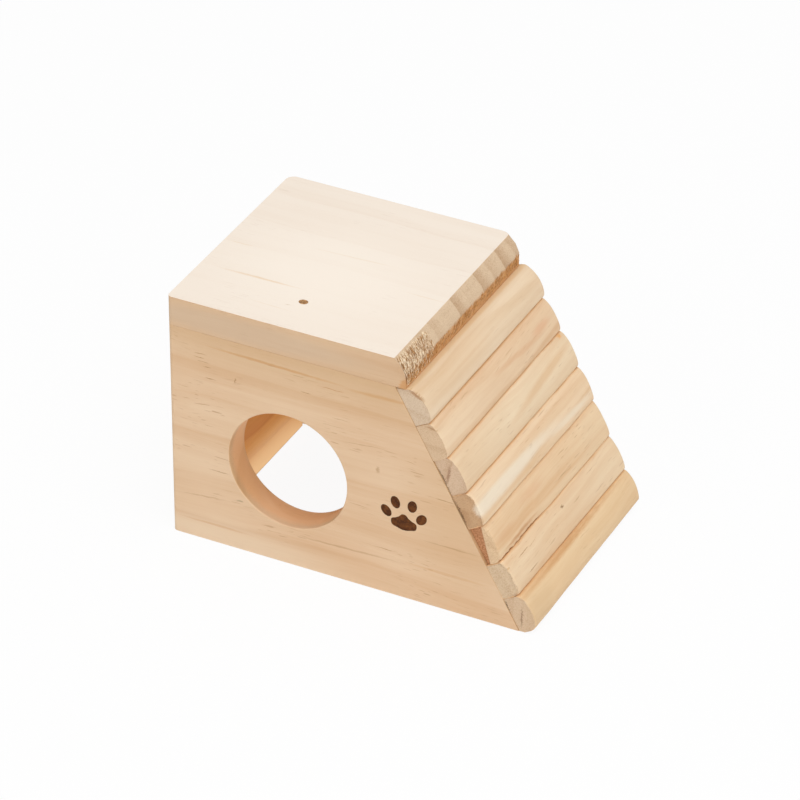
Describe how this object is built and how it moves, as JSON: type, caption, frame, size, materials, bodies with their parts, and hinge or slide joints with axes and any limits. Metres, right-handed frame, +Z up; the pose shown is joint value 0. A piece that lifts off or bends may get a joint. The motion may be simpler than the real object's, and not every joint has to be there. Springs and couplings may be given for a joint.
{
  "type": "wooden hamster house",
  "caption": "Small open-bottomed pine hide for a dwarf hamster, with a round entry hole and a ladder of rounded slats down its sloped side.",
  "frame": {"origin": "middle of the footprint, on the floor", "axes": "+X from the closed end to the foot of the ladder, +Y from the entry side to the back, +Z up"},
  "size_m": [0.1234, 0.079, 0.085],
  "materials": {
    "pine_board": "sanded bare pine, satin",
    "pine_roof": "sanded bare pine, satin",
    "pine_slat": "rounded pine moulding, satin",
    "beech_dowel": "turned hardwood dowel"
  },
  "bodies": {
    "root": {"front_panel": "pine_board", "back_panel": "pine_board", "end_wall": "pine_board", "roof_board": "pine_roof", "slat_1": "pine_slat", "slat_2": "pine_slat", "slat_3": "pine_slat", "slat_4": "pine_slat", "slat_5": "pine_slat", "slat_6": "pine_slat", "slat_7": "pine_slat", "roof_dowels": "beech_dowel", "end_wall_dowels": "beech_dowel"}
  },
  "joints": []
}
